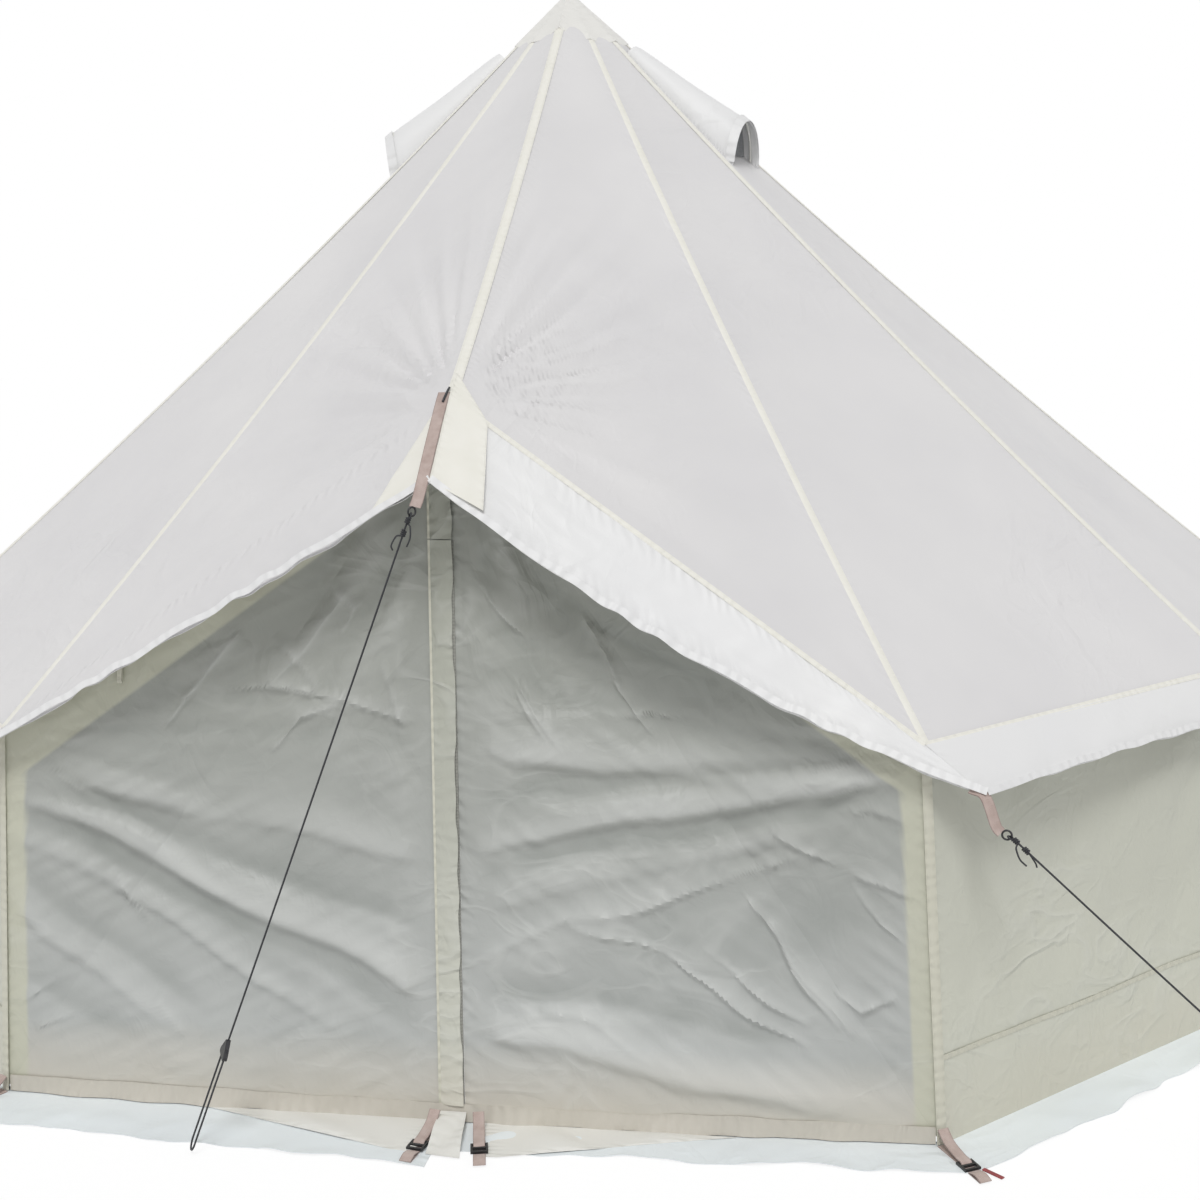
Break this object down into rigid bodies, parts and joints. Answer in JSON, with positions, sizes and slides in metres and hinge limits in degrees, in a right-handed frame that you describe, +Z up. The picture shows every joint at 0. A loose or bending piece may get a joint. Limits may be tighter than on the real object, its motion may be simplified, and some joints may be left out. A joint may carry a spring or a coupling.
{
  "type": "bell tent",
  "caption": "Bell tent on a centre pole with low side walls, a zipped door of folding leaves under an A-pole, hooded roof vents and guy lines with sliding tensioners.",
  "frame": {"origin": "centre of the underside of the centre pole foot, on the ground", "axes": "+Z up; the door faces -Y; +X to the right as seen facing the door"},
  "size_m": [4.308, 4.1731, 2.5043],
  "materials": {
    "roof_cloth": "smooth coated tent cloth, pale white",
    "cap_cloth": "coated cloth, warm white",
    "tape": "bonded seam tape, cream white",
    "wall_cloth": "thin translucent cloth, greenish beige",
    "door_cloth": "thin translucent cloth, grey green",
    "door_border": "thin translucent cloth, pale yellow green",
    "hem_cloth": "woven hem cloth, tan",
    "flap_cloth": "smooth coated cloth, pale bluish white",
    "webbing": "woven webbing, pinkish beige",
    "rope": "braided cord, black",
    "black_plastic": "moulded, satin black",
    "zip_metal": "satin",
    "zip_coil": "spiral zip coil",
    "pole": "brushed tube",
    "mesh": "insect mesh",
    "hoop": "plastic rod",
    "red_pull": "red webbing"
  },
  "bodies": {
    "tent": {"roof_panel_1": "roof_cloth", "roof_panel_2": "roof_cloth", "roof_panel_3": "roof_cloth", "roof_panel_4": "roof_cloth", "roof_panel_5": "roof_cloth", "roof_panel_6": "roof_cloth", "roof_panel_7": "roof_cloth", "roof_panel_8": "roof_cloth", "roof_panel_9": "roof_cloth", "roof_panel_10": "roof_cloth", "roof_front_left": "roof_cloth", "roof_front_right": "roof_cloth", "roof_cap": "cap_cloth", "roof_seam_tapes": "tape", "ridge_patch": "tape", "wall_panel_1": "wall_cloth", "wall_panel_2": "wall_cloth", "wall_panel_3": "wall_cloth", "wall_panel_4": "wall_cloth", "wall_panel_5": "wall_cloth", "wall_panel_6": "wall_cloth", "wall_panel_7": "wall_cloth", "wall_panel_8": "wall_cloth", "wall_panel_9": "wall_cloth", "wall_panel_10": "wall_cloth", "wall_trim": "tape", "eave_valance": "roof_cloth", "door_canopy": "roof_cloth", "mud_flap": "flap_cloth", "door_sill": "hem_cloth", "door_hems": "hem_cloth", "door_gable_left": "door_border", "door_gable_right": "door_border", "door_head": "door_cloth", "door_ties": "webbing", "pole_foot": "black_plastic", "pole_lower": "pole", "pole_upper": "pole", "pole_tip": "black_plastic", "apole_left": "pole", "apole_right": "pole", "apole_bend": "pole", "vent_hoods": "roof_cloth", "vent_hoops": "hoop", "vent_meshes": "mesh", "guy_webbing": "webbing", "guy_rings": "black_plastic", "guy_rope_front": "rope", "guy_rope_right": "rope", "peg_straps": "webbing", "ladder_locks": "black_plastic", "buckle_pull": "red_pull"},
    "door_leaf_left": {"door_leaf_left": "door_cloth", "storm_flap": "door_border", "zip_coil": "zip_coil"},
    "door_leaf_right": {"door_leaf_right": "door_cloth"},
    "zip_slider": {"zip_slider": "zip_metal"},
    "zip_pull": {"zip_pull": "zip_metal"},
    "tensioner_front": {"tensioner_front": "black_plastic"},
    "tensioner_right": {"tensioner_right": "black_plastic"}
  },
  "joints": [
    {"name": "door_right_fold", "type": "hinge", "parent": "tent", "child": "door_leaf_right", "pos_m": [0.00563, -1.51854, 1.24], "axis": [0.6208, -0.1324, -0.7727], "range_deg": [0, 100]},
    {"name": "door_left_fold", "type": "hinge", "parent": "tent", "child": "door_leaf_left", "pos_m": [0.00563, -1.51854, 1.24], "axis": [0.6251, 0.1318, 0.7693], "range_deg": [0, 100]},
    {"name": "zip_slide", "type": "slide", "parent": "door_leaf_left", "child": "zip_slider", "axis": [-0.0241, 0.1839, 0.9827], "range_m": [0, 1.05]},
    {"name": "zip_pull_swing", "type": "hinge", "parent": "zip_slider", "child": "zip_pull", "pos_m": [0.02829, -1.74226, 0.08041], "axis": [-1, 0, 0], "range_deg": [0, 150]},
    {"name": "front_tensioner_slide", "type": "slide", "parent": "tent", "child": "tensioner_front", "axis": [0.3353, 0.1706, 0.9265], "range_m": [-0.1, 0.35]},
    {"name": "right_tensioner_slide", "type": "slide", "parent": "tent", "child": "tensioner_right", "axis": [-0.7371, 0.2564, 0.6252], "range_m": [-0.1, 0.35]}
  ]
}
